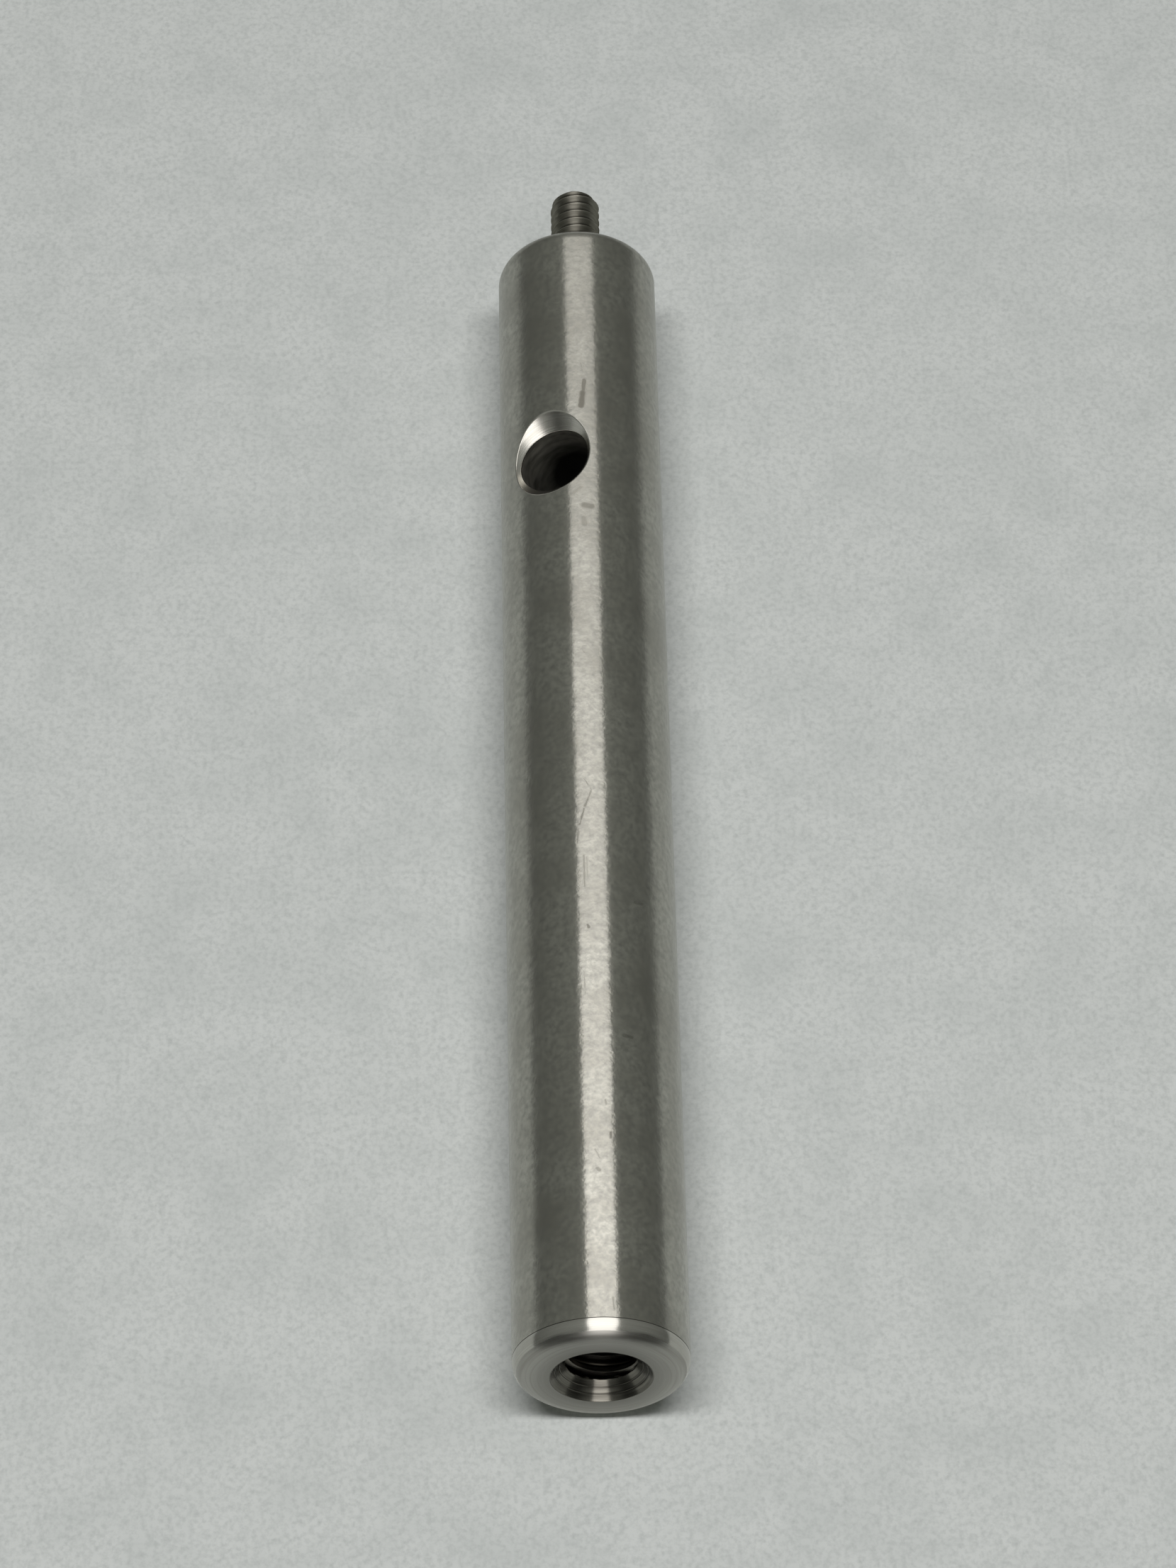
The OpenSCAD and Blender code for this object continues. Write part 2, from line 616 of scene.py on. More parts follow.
    def cross_hole(self, shell: Shell) -> None:
        """Add both mouths of the cross hole, the ground patches round them and the bore.

        Args:
            shell: takes the grids.
        """
        turn, rise = self.patch_edge()
        way = np.arctan2(self.radius * np.sin(turn), rise)
        sine, cosine = np.sin(way), np.cos(way)
        slope = math.tan(math.radians(self.cross_angle / 2.0))
        seat = self.radius - (self.cross_sink - self.cross_radius) / slope
        # Where the cone rho = cross_radius + (y - seat) * slope meets the bar's outside
        tilt = 1.0 / slope
        base = seat - self.cross_radius * tilt
        square = tilt**2 + sine**2
        edge = (np.sqrt(base**2 * tilt**2 - square * (base**2 - self.radius**2)) - base * tilt) / square
        lean = math.hypot(1.0, slope)
        mouth_turn = np.arcsin((edge + self.edge_break) * sine / self.radius)
        mouth_rise = (edge + self.edge_break) * cosine
        for side in (1.0, -1.0):
            share = np.linspace(0.0, 1.0, self.patch_rings + 1)[:, None]
            azimuth = side * (FULL_TURN / 4.0 - turn - (mouth_turn - turn) * share)
            height = rise + (mouth_rise - rise) * share + self.cross_height
            rings, ring_normals = self.ground(shell, azimuth, height)
            into = np.stack([-sine / lean, np.full_like(sine, side * slope / lean), -cosine / lean], axis=-1)
            wall = np.stack([-sine, np.zeros_like(sine), -cosine], axis=-1)

            def circle(rho: Any, y: Any) -> Array:
                """Give a ring of points about the hole's axis.

                Args:
                    rho: their distance from that axis.
                    y: their distance from the bar's axis, along the hole.

                Returns:
                    A point for each step round the mouth.
                """
                rho = np.broadcast_to(rho, sine.shape)
                y = np.broadcast_to(side * y, sine.shape)
                return np.stack([rho * sine, y, rho * cosine + self.cross_height], axis=-1)

            def on_cone(rho: Any) -> Array:
                """Give the points of the countersink at a distance from the hole's axis."""
                return circle(rho, seat + (rho - self.cross_radius) * tilt)

            inner = on_cone(edge - self.edge_break)
            blunt = (rings[-1] + inner) * (1.0 - self.edge_keep) / 2.0 + on_cone(edge) * self.edge_keep
            between = ring_normals[-1] + into
            between /= np.linalg.norm(between, axis=-1, keepdims=True)
            foot = on_cone(self.cross_radius + self.edge_break)
            throat = circle(self.cross_radius, seat - self.edge_break)
            centre = circle(self.cross_radius, 0.0)
            halfway = on_cone((edge + self.cross_radius) / 2.0)
            for circles, normals, finish in (
                ((rings[-1], blunt, inner), (ring_normals[-1], between, into), PostFinish.CROSS_SUNK),
                ((inner, halfway, foot), (into,) * 3, PostFinish.CROSS_SUNK),
                ((foot, throat), (into, wall), PostFinish.CROSS_SUNK),
                ((throat, (throat + centre) / 2.0, centre), (wall,) * 3, PostFinish.DRILLED),
            ):
                shell.add(np.array(circles), finish, np.array(normals))

    def build(self, materials: Sequence[Material]) -> Object:
        """Make the bar.

        Args:
            materials: the finishes, in the order of PostFinish.

        Returns:
            The bar, riding on its body in place of its solid.
        """
        shell = Shell()
        self.base_hole(shell)
        self.base_end(shell)
        self.outside(shell)
        self.cross_hole(shell)
        self.stud_end(shell)
        piece = shell.build("ground_post", materials)
        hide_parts(Node.POST.value)
        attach(piece, Body.BAR.value)
        return piece


@dataclass
class SetScrew:
    """The removable socket set screw whose free end is the stud."""

    radius: float = 2.05
    # The rolled 8-32 thread, made a little under its nominal size as such threads are
    thread: ScrewThread = ScrewThread(
        pitch=0.79375,
        near_radius=1.99,
        far_radius=1.55,
        near_flat=0.09,
        rows=(0.0, 0.0625, 0.14, 0.22, 0.3, 0.37, 0.42, 0.46, 0.54, 0.58, 0.63, 0.7, 0.78, 0.86, 0.9375),
        rounding=0.1,
    )
    # Height of its foot at rest
    foot: float = 96.8375
    length: float = 12.7
    # Both bevels reach below the root of the thread, so that it ends in a plain ring
    tip_bevel: float = 0.6
    foot_bevel: float = 0.56
    cup_radius: float = 1.05
    hex_half_width: float = 0.99
    hex_depth: float = 2.4
    hex_mouth: float = 1.25
    drill_angle: float = 118.0
    # How much of each bevel is turned with the end face and not with the thread
    end_share: float = 0.06
    end_fillet: float = 0.05
    mouth_fillet: float = 0.03
    # How far the face's own grid runs down into the socket
    mouth_step: float = 0.04
    columns: int = 144
    hex_rows: int = 8

    def build(self, materials: Sequence[Material]) -> Object:
        """Make the set screw.

        Args:
            materials: the finishes, in the order of ScrewFinish.

        Returns:
            The set screw, riding on its body in place of its solid.
        """
        shell = Shell()
        tip = self.foot + self.length
        low, high = self.foot + self.end_share, tip - self.end_share
        foot_radius, tip_radius = self.radius - self.foot_bevel, self.radius - self.tip_bevel
        low_radius, high_radius = foot_radius + self.end_share, tip_radius + self.end_share

        def bevelled(radius: Array, height: Array) -> Array:
            """Cut the thread back to the bevels at both ends."""
            return np.minimum(radius, np.minimum(low_radius + height - low, high_radius + high - height))

        shell.add(self.thread.grid(low, high, self.columns, bevelled), ScrewFinish.ROLLED)
        foot = [
            (0.0, self.foot + cone_depth(self.cup_radius, self.drill_angle), 0.0),
            (self.cup_radius, self.foot, self.mouth_fillet),
            (foot_radius, self.foot, self.end_fillet),
            (low_radius, low, 0.0),
        ]
        face = [
            (high_radius, high, 0.0),
            (tip_radius, tip, self.end_fillet),
            (self.hex_mouth, tip, self.mouth_fillet),
            (self.hex_mouth - self.mouth_step, tip - self.mouth_step, 0.0),
        ]
        for corners in (foot, face):
            points, normals = turned(corners, self.columns)
            shell.add(points, ScrewFinish.BROACHED, normals)
        self.socket(shell, tip)
        piece = shell.build("set_screw_8_32", materials)
        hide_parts(Node.SET_SCREW.value)
        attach(piece, Body.STUD_SCREW.value)
        return piece

    def socket(self, shell: Shell, tip: float) -> None:
        """Add the hexagon socket, its lead-in cone and its drill point.

        Args:
            shell: takes the grid.
            tip: height of the screw's end face.
        """
        angle = azimuths(self.columns)
        sixth = FULL_TURN / 6.0
        hexagon = self.hex_half_width / np.cos((angle + sixth / 2.0) % sixth - sixth / 2.0)
        lead_in = self.hex_mouth - self.hex_half_width
        depths = np.linspace(self.mouth_step, lead_in, self.hex_rows)
        rows = [np.maximum(hexagon, self.hex_mouth - depth) for depth in [*depths, self.hex_depth]]
        rows += [np.full_like(hexagon, self.hex_half_width), np.zeros_like(hexagon)]
        point = self.hex_depth + cone_depth(self.hex_half_width, self.drill_angle)
        depths = np.concatenate([depths, [self.hex_depth, self.hex_depth, point]])
        grid = polar(np.array(rows), angle, tip - depths[:, None])
        shell.add(grid[::-1], ScrewFinish.BROACHED, inward=True)


class Way(Enum):
    """The axis that a tool turned about."""

    BAR = "bar"
    CROSS_HOLE = "cross_hole"


@dataclass(frozen=True)
class Mark:
    """A scratch on the ground outside, in millimetres on the unrolled bar.

    Each end is a distance round the bar from the side that faces the lamp, and a
    height.
    """

    start: tuple[float, float]
    end: tuple[float, float]
    width: float
    strength: float


WEAR = (
    # The long slanting scratch above the cross hole, and the nick at its top
    Mark((0.3, 85.5), (0.17, 84.2), 0.36, 0.8),
    Mark((0.17, 84.2), (0.02, 82.85), 0.56, 0.9),
    Mark((0.06, 87.2), (0.17, 86.4), 0.14, 0.4),
    Mark((0.17, 86.4), (0.3, 87.0), 0.1, 0.25),
    Mark((0.62, 89.9), (0.6, 89.6), 0.3, 0.3),
    Mark((0.82, 96.3), (0.84, 95.7), 0.16, 0.25),
    # The short tick below the cross hole and the rubs beside it
    Mark((0.08, 72.98), (0.62, 72.86), 0.6, 0.65),
    Mark((0.0, 71.7), (0.08, 71.1), 0.5, 0.42),
    Mark((-0.75, 74.2), (-0.2, 74.7), 0.34, 0.35),
    Mark((-0.35, 59.1), (-0.1, 58.7), 0.12, 0.3),
    # The crooked scratch at mid-height
    Mark((-0.42, 47.1), (0.12, 46.1), 0.08, 0.5),
    Mark((0.12, 46.1), (-0.18, 45.2), 0.11, 0.5),
    Mark((-0.18, 45.2), (-0.4, 44.6), 0.22, 0.6),
    Mark((-0.45, 44.4), (-0.8, 43.0), 0.16, 0.65),
    Mark((-0.9, 42.6), (-1.0, 41.6), 0.1, 0.4),
    Mark((-0.56, 40.2), (-0.54, 37.4), 0.15, 0.42),
    Mark((-0.34, 40.0), (-0.32, 38.0), 0.1, 0.25),
    Mark((-0.38, 34.0), (-0.3, 33.8), 0.26, 0.7),
    Mark((-0.72, 30.0), (-0.68, 28.0), 0.08, 0.35),
    # Spots and a graze nearer the base
    Mark((2.1, 24.65), (2.7, 24.6), 0.3, 0.4),
    Mark((0.6, 19.0), (0.66, 18.7), 0.16, 0.4),
    Mark((0.92, 16.3), (0.94, 15.9), 0.2, 0.6),
    Mark((-0.1, 13.35), (0.05, 13.2), 0.3, 0.5),
    Mark((-0.2, 14.9), (0.1, 14.2), 0.1, 0.3),
    Mark((0.8, 2.9), (0.85, 2.0), 0.14, 0.35),
    Mark((3.3, 36.5), (3.9, 36.55), 0.3, 0.3),
)


@dataclass(frozen=True)
class Steel:
    """Austenitic stainless steel, as each of its finishes starts from it."""

    name: str = "stainless_steel"
    colour: str = "#ABAAA1"
    roughness: float = 0.25
    # How much further the surface spreads light across the tool's lines than along them
    anisotropy: float = 0.0
    # What an oxide film leaves of the light that grazes the metal
    edge_tint: str = "#FFFFFF"

    def finish(self, material: Material, colour: Any, roughness: Any, normal: Socket) -> None:
        """Add the metal itself to a material's tree.

        Args:
            material: takes the metal.
            colour: a linear colour, or the output that gives it.
            roughness: a number, or the output that gives it.
            normal: the output that gives the bumped normal.
        """
        tree = material.node_tree
        inputs = {
            "Base Color": colour,
            "Metallic": 1.0,
            "Roughness": roughness,
            "Specular Tint": linear(self.edge_tint),
            "Normal": normal,
        }
        if self.anisotropy:
            tangent = put(tree, "Tangent", direction_type="RADIAL", axis="Z")[0]
            # A quarter of a turn lays the spread across lines that run round the bar
            inputs |= {"Anisotropic": self.anisotropy, "Anisotropic Rotation": 0.25, "Tangent": tangent}
        surface = put(tree, "BsdfPrincipled", inputs)[0]
        put(tree, "OutputMaterial", {"Surface": surface})


@dataclass(frozen=True)
class GroundSteel(Steel):
    """The outside of the bar, centreless ground and then handled for years.

    The wheel leaves fine lines round the bar, so the lamp's image has crisp sides,
    spreads along the bar and looks grainy. Grease and dulling give it a clouded
    tone, and scratches show dark in the lamp's image.
    """

    name: str = "stainless_steel_centreless_ground"
    colour: str = "#B1B0A7"
    anisotropy: float = 0.93
    # The bar's radius, and the azimuth of the side that faces the lamp
    radius: float = 6.35
    azimuth: float = 24.5
    # Wheel lines lie 0.02 mm apart, drawn here 0.14 mm apart so that they show
    line_pitch: float = 0.14
    line_length: float = 2.8
    line_depth: float = 0.0008
    # The grain that the wheel's grit leaves, 0.05 mm, drawn at 0.48 mm
    grain: float = 0.48
    grain_depth: float = 0.011
    grain_colour: str = "#95948D"
    grain_ends: tuple[float, float] = (0.35, 0.75)
    # Clouds of dulling, a few millimetres across
    cloud: float = 5.0
    cloud_colour: str = "#9E9C93"
    cloud_ends: tuple[float, float] = (0.42, 0.68)
    # The grain's values between which it moves the roughness, and how far up and down
    rough_ends: tuple[float, float] = (0.3, 0.7)
    rough_swing: float = 0.02
    # What a scratch adds to the roughness
    worn_rough: float = 0.2
    worn_colour: str = "#64625A"
    # How far the grain frays a scratch, in millimetres
    fray: float = 0.3
    # Where a scratch starts to thin and where it ends, as shares of its width
    mark_ends: tuple[float, float] = (0.2, 0.7)

    def material(self) -> Material:
        """Make the material.

        Returns:
            The material of the ground outside.
        """
        material, tree = new_tree(self.name)
        place = put(tree, "TexCoord")["Object"]
        round_bar, along_bar = 1.0 / (self.line_length * MM), 1.0 / (self.line_pitch * MM)
        drawn = put(tree, "Mapping", {"Vector": place, "Scale": (round_bar, round_bar, along_bar)})[0]
        lines = put(tree, "TexNoise", {"Vector": drawn, "Scale": 1.0, "Detail": FINE_DETAIL})["Fac"]
        grain, cloud = (
            put(
                tree,
                "TexNoise",
                {"Vector": place, "Scale": 1.0 / (size * MM), "Detail": detail, "Roughness": OCTAVE_SHARE},
            )["Fac"]
            for size, detail in ((self.grain, FINE_DETAIL), (self.cloud, CLOUD_DETAIL))
        )
        worn = self.wear(tree, place, grain)
        relief = put(tree, "Bump", {"Height": lines, "Distance": self.line_depth * MM})[0]
        relief = put(tree, "Bump", {"Height": grain, "Distance": self.grain_depth * MM, "Normal": relief})[0]
        colour = lay(tree, linear(self.colour), self.cloud_colour, cloud, self.cloud_ends)
        colour = lay(tree, colour, self.grain_colour, grain, self.grain_ends)
        colour = lay(tree, colour, self.worn_colour, worn, (0.0, 1.0))
        rough = put(
            tree,
            "MapRange",
            {
                "Value": grain,
                "From Min": self.rough_ends[0],
                "From Max": self.rough_ends[1],
                "To Min": self.roughness - self.rough_swing,
                "To Max": self.roughness + self.rough_swing,
            },
        )[0]
        rough = put(tree, "Math", (worn, self.worn_rough, rough), operation="MULTIPLY_ADD")[0]
        self.finish(material, colour, rough, relief)
        return material

    def unrolled(self, tree: Tree, place: Socket) -> Socket:
        """Unroll the bar.

        Args:
            tree: takes the nodes.
            place: the output that gives the place on the bar.

        Returns:
            The output with the distance round the bar as X and the height as Y, in millimetres.
        """
        sine, cosine = math.sin(math.radians(self.azimuth)), math.cos(math.radians(self.azimuth))
        sides = [
            put(tree, "VectorMath", (place, way), operation="DOT_PRODUCT")["Value"]
            for way in ((cosine, sine, 0.0), (sine, -cosine, 0.0))
        ]
        turn = put(tree, "Math", sides, operation="ARCTAN2")[0]
        around = put(tree, "Math", (turn, self.radius), operation="MULTIPLY")[0]
        height = put(tree, "SeparateXYZ", {"Vector": place})["Z"]
        height = put(tree, "Math", (height, 1.0 / MM), operation="MULTIPLY")[0]
        return put(tree, "CombineXYZ", {"X": around, "Y": height})[0]

    def wear(self, tree: Tree, place: Socket, grain: Socket) -> Socket:
        """Draw the scratches on the unrolled bar.

        Args:
            tree: takes the nodes.
            place: the output that gives the place on the bar.
            grain: noise that frays the edges of the scratches.

        Returns:
            The output that is one in a scratch and nought elsewhere.
        """
        spot = self.unrolled(tree, place)
        # The noise lies about its own middle, one half
        fray = put(tree, "Math", (grain, 0.5), operation="SUBTRACT")[0]
        fray = put(tree, "Math", (fray, self.fray), operation="MULTIPLY")[0]
        total: Any = 0.0
        for mark in WEAR:
            run = (mark.end[0] - mark.start[0], mark.end[1] - mark.start[1], 0.0)
            per_run = tuple(part / (run[0] ** 2 + run[1] ** 2) for part in run)
            off = put(tree, "VectorMath", (spot, (*mark.start, 0.0)), operation="SUBTRACT")[0]
            share = put(tree, "VectorMath", (off, per_run), operation="DOT_PRODUCT")["Value"]
            share = put(tree, "Clamp", {"Value": share})[0]
            nearest = put(tree, "VectorMath", {0: run, "Scale": share}, operation="SCALE")[0]
            away = put(tree, "VectorMath", (off, nearest), operation="DISTANCE")["Value"]
            away = put(tree, "Math", (away, fray), operation="ADD")[0]
            depth = put(
                tree,
                "MapRange",
                {
                    "Value": away,
                    "From Min": mark.width * self.mark_ends[0],
                    "From Max": mark.width * self.mark_ends[1],
                    "To Min": mark.strength,
                    "To Max": 0.0,
                },
                interpolation_type="SMOOTHSTEP",
            )[0]
            total = put(tree, "Math", (total, depth), operation="MAXIMUM")[0]
        return total


@dataclass(frozen=True)
class MachinedSteel(Steel):
    """Stainless steel that an edged tool has cut, with the lines that the tool left."""

    about: Way = Way.BAR
    # How far the lines step with the radius and with the distance from mid-height
    step: tuple[float, float] = (1.0, -1.0)
    # The feed leaves a line every 0.05 to 0.1 mm, and each finish draws its lines as
    # coarse as they need to show
    line_pitch: float = 0.1
    line_length: float = 6.0
    line_depth: float = 0.001
    line_octave_share: float = 0.55
    dull_colour: str = "#8F8D85"
    dull_ends: tuple[float, float] = (0.35, 0.65)
    # Distances from the bar's axis at which a darkening is thickest and at which it ends, and its colour
    # It is painted shade in the bores and in the tapped thread's roots, oxide in the rolled thread's roots,
    # and darker towards the holes on the end faces
    grime_and_shade: tuple[float, float] | None = None
    grime_and_shade_colour: str = "#2B2924"
    # Heights of the middle of the bar and of the axis of the cross hole
    middle: float = 50.8
    cross_height: float = 78.7

    def material(self) -> Material:
        """Make the material.

        Returns:
            The material of this finish.
        """
        material, tree = new_tree(self.name)
        place = put(tree, "TexCoord")["Object"]
        parts = put(tree, "SeparateXYZ", {"Vector": place})
        if self.about is Way.BAR:
            side, along, level = parts["Y"], parts["Z"], self.middle
        else:
            drop = (parts["Z"], self.cross_height * MM)
            side = put(tree, "Math", drop, operation="SUBTRACT")[0]
            along, level = parts["Y"], 0.0
        flat = put(tree, "CombineXYZ", {"X": parts["X"], "Y": side})[0]
        radius = put(tree, "VectorMath", (flat,), operation="LENGTH")["Value"]
        away = put(tree, "Math", (along, level * MM), operation="SUBTRACT")[0]
        away = put(tree, "Math", (away,), operation="ABSOLUTE")[0]
        run = put(tree, "Math", (away, self.step[1]), operation="MULTIPLY")[0]
        run = put(tree, "Math", (radius, self.step[0], run), operation="MULTIPLY_ADD")[0]
        run = put(tree, "Math", (run, self.line_length / self.line_pitch), operation="MULTIPLY")[0]
        spot = put(tree, "CombineXYZ", {"X": parts["X"], "Y": side, "Z": run})[0]
        size = {"Scale": 1.0 / (self.line_length * MM), "Detail": FINE_DETAIL}
        lines = put(tree, "TexNoise", {"Vector": spot, **size, "Roughness": self.line_octave_share})["Fac"]
        relief = put(tree, "Bump", {"Height": lines, "Distance": self.line_depth * MM})[0]
        colour = lay(tree, linear(self.colour), self.dull_colour, lines, self.dull_ends)
        # Darker towards the bar's axis: painted shade in the bores and the tapped thread, oxide on the
        # screw's thread
        if self.grime_and_shade:
            thick, none = self.grime_and_shade
            flat = put(tree, "CombineXYZ", {"X": parts["X"], "Y": parts["Y"]})[0]
            depth = put(tree, "VectorMath", (flat,), operation="LENGTH")["Value"]
            colour = lay(tree, colour, self.grime_and_shade_colour, depth, (none * MM, thick * MM))
        self.finish(material, colour, self.roughness, relief)
        return material


@dataclass(frozen=True)
class FormTurnedSteel(MachinedSteel):
    """The rims, cut by a form tool: smooth and bright, the cleanest part of the bar."""

    name: str = "stainless_steel_form_turned"
    colour: str = "#BBBAB3"
    dull_colour: str = "#B0AEA7"
    roughness: float = 0.2
    anisotropy: float = 0.8
    line_pitch: float = 0.12
    line_depth: float = 0.0004


@dataclass(frozen=True)
class FacedSteel(MachinedSteel):
    """The end faces, turned flat: the feed leaves rings that scatter the light and dull it.

    The colour darkens towards the holes in the middle of each face.
    """

    name: str = "stainless_steel_faced"
    colour: str = "#ABAAA4"
    dull_colour: str = "#9B9993"
    roughness: float = 0.36
    anisotropy: float = 0.75
    grime_and_shade: tuple[float, float] | None = (3.9, 5.4)
    grime_and_shade_colour: str = "#878680"
    step: tuple[float, float] = (1.0, 0.0)
    line_pitch: float = 0.16


@dataclass(frozen=True)
class SunkSteel(MachinedSteel):
    """The countersink of the base: rings where the cutter chattered, over a bright cut."""

    name: str = "stainless_steel_countersunk_base"
    colour: str = "#7C7A72"
    dull_colour: str = "#514F49"
    roughness: float = 0.22
    anisotropy: float = 0.7
    step: tuple[float, float] = (0.0, 1.0)
    line_pitch: float = 0.14
    line_depth: float = 0.003


@dataclass(frozen=True)
class CrossSunkSteel(MachinedSteel):
    """The countersinks of the cross hole: a clean bright cut that mirrors the lamp."""

    name: str = "stainless_steel_countersunk_cross_hole"
    colour: str = "#C4C2BB"
    dull_colour: str = "#B2B0A8"
    roughness: float = 0.24
    about: Way = Way.CROSS_HOLE
    step: tuple[float, float] = (1.0, 1.0)
    line_pitch: float = 0.12
    line_depth: float = 0.0012


@dataclass(frozen=True)
class DrilledSteel(MachinedSteel):
    """The drilled bores: rough, and darker the deeper they go, which is painted shade."""

    name: str = "stainless_steel_drilled"
    colour: str = "#BAB7AE"
    dull_colour: str = "#7F7D75"
    roughness: float = 0.5
    # Painted shade: the colour darkens towards the bar's axis, deep in the bores
    grime_and_shade: tuple[float, float] | None = (2.0, 4.6)
    grime_and_shade_colour: str = "#12110F"
    about: Way = Way.CROSS_HOLE
    step: tuple[float, float] = (0.0, 1.0)
    line_pitch: float = 0.6
    line_length: float = 2.0
    line_depth: float = 0.002


@dataclass(frozen=True)
class TappedSteel(MachinedSteel):
    """The tapped thread of the base: torn a little by the tap, and darker in its roots, which is painted
    shade.
    """

    name: str = "stainless_steel_tapped"
    colour: str = "#8C8980"
    dull_colour: str = "#66635B"
    roughness: float = 0.27
    # Painted shade in the roots of the thread, which lie furthest from the axis
    grime_and_shade: tuple[float, float] | None = (2.9, 2.6)
    step: tuple[float, float] = (1.0, 1.0)
    line_depth: float = 0.0015


@dataclass(frozen=True)
class ShadedToolLineSteel(MachinedSteel):
    """The line that the form tool cut beside the rim, in a dark colour that is painted shade of the narrow
    groove.
    """

    name: str = "stainless_steel_tool_line_painted_shade"
    colour: str = "#4F4D47"
    dull_colour: str = "#35332E"
    roughness: float = 0.5
    line_pitch: float = 0.3
    line_length: float = 2.0


@dataclass(frozen=True)
class RolledSteel(MachinedSteel):
    """The set screw's thread, rolled: smooth on its crests, brown with use in its roots."""

    name: str = "stainless_steel_rolled_thread"
    colour: str = "#9C9A90"
    dull_colour: str = "#89877D"
    roughness: float = 0.5
    anisotropy: float = 0.85
    edge_tint: str = "#6A6862"
    grime_and_shade: tuple[float, float] | None = (1.57, 1.66)
    grime_and_shade_colour: str = "#3E3C36"
    step: tuple[float, float] = (2.0, 1.0)
    line_pitch: float = 0.2
    line_length: float = 1.2
    line_depth: float = 0.002


@dataclass(frozen=True)
class BroachedSteel(MachinedSteel):
    """The set screw's ends and its socket, upset and broached: duller than its thread."""

    name: str = "stainless_steel_broached"
    colour: str = "#7F7C74"
    dull_colour: str = "#67645C"
    roughness: float = 0.45
    step: tuple[float, float] = (1.0, 1.0)
    line_pitch: float = 0.15
    line_depth: float = 0.002


@dataclass(frozen=True)
class Laminate:
    """The bench top and the floor: pale laminate, matt, with a faint cloudy print.

    Each sheet shows from its front only, so that it never stands before the post.
    """

    name: str
    colour: str = "#D8DDDA"
    cloud_colour: str = "#CAD0CD"
    # The specks of the print, 0.2 mm, drawn at 0.4 mm
    speck: float = 0.4
    speck_colour: str = "#BCC2BF"
    cloud: float = 6.0
    print_ends: tuple[float, float] = (0.4, 0.9)
    # Light of its own, over what its lamp and the room give it
    glow: float = 0.0
    # Metal closer than this looks through the sheet, where that is above the floor
    clearance: float = 0.0

    def material(self) -> Material:
        """Make the material.

        Returns:
            The laminate.
        """
        material, tree = new_tree(self.name)
        geometry = put(tree, "NewGeometry")
        place = geometry["Position"]
        colour: Any = linear(self.colour)
        for size, other in ((self.cloud, self.cloud_colour), (self.speck, self.speck_colour)):
            scale = {"Scale": 1.0 / (size * MM), "Detail": FINE_DETAIL, "Roughness": OCTAVE_SHARE}
            noise = put(tree, "TexNoise", {"Vector": place, **scale})["Fac"]
            colour = lay(tree, colour, other, noise, self.print_ends)
        front = put(tree, "BsdfDiffuse", {"Color": colour})[0]
        if self.glow:
            shine = put(tree, "Emission", {"Color": colour, "Strength": self.glow})[0]
            front = put(tree, "AddShader", (front, shine))[0]
        path = put(tree, "LightPath")
        height = put(tree, "SeparateXYZ", {"Vector": place})["Z"]
        near = (path["Ray Length"], self.clearance * MM)
        hidden = put(tree, "Math", near, operation="LESS_THAN")[0]
        above = put(tree, "Math", (height, 0.0), operation="GREATER_THAN")[0]
        for factor in (above, path["Is Glossy Ray"]):
            hidden = put(tree, "Math", (hidden, factor), operation="MULTIPLY")[0]
        hidden = put(tree, "Math", (hidden, geometry["Backfacing"]), operation="MAXIMUM")[0]
        clear = put(tree, "BsdfTransparent")[0]
        mixed = put(tree, "MixShader", (hidden, front, clear))[0]
        put(tree, "OutputMaterial", {"Surface": mixed})
        return material


@dataclass(frozen=True)
class Card:
    """A lit card of the studio that only the metal sees."""

    name: str
    radiance: float
    colour: str = "#FFFCFC"

    def material(self) -> Material:
        """Make the material.

        Returns:
            The light of the card.
        """
        material, tree = new_tree(self.name)
        light = put(tree, "Emission", {"Color": linear(self.colour), "Strength": self.radiance})[0]
        put(tree, "OutputMaterial", {"Surface": light})
        material.cycles.emission_sampling = "NONE"
        return material


@dataclass(frozen=True)
class Sheet:
    """A flat sheet of the stage, between two opposite edges."""

    # The middles of its edges, across the long lamp, along the post and up from the bench
    start: tuple[float, float, float]
    end: tuple[float, float, float]
    half_width: float
    # How many times longer the edge at end is than the one at start
    spread: float = 1.0

    def build(self, finish: Laminate | Card, axes: Matrix) -> Object:
        """Make the sheet, which only the camera and the metal see.

        Args:
            finish: its finish, which also names it.
            axes: the ways that its places are given in, as columns.

        Returns:
            The sheet.
        """
        start, end = axes @ Vector(self.start), axes @ Vector(self.end)
        near = axes @ Vector((self.half_width, 0.0, 0.0))
        far = near * self.spread
        corners = (start - near, start + near, end + far, end - far)
        mesh = bpy.data.meshes.new(finish.name)
        mesh.from_pydata([tuple(corner * MM) for corner in corners], [], [(0, 1, 2, 3)])
        mesh.materials.append(finish.material())
        piece = bpy.data.objects.new(finish.name, mesh)
        bpy.context.scene.collection.objects.link(piece)
        hide(piece, Sight.SHADOW, Sight.MATT, Sight.GLASS)
        return piece


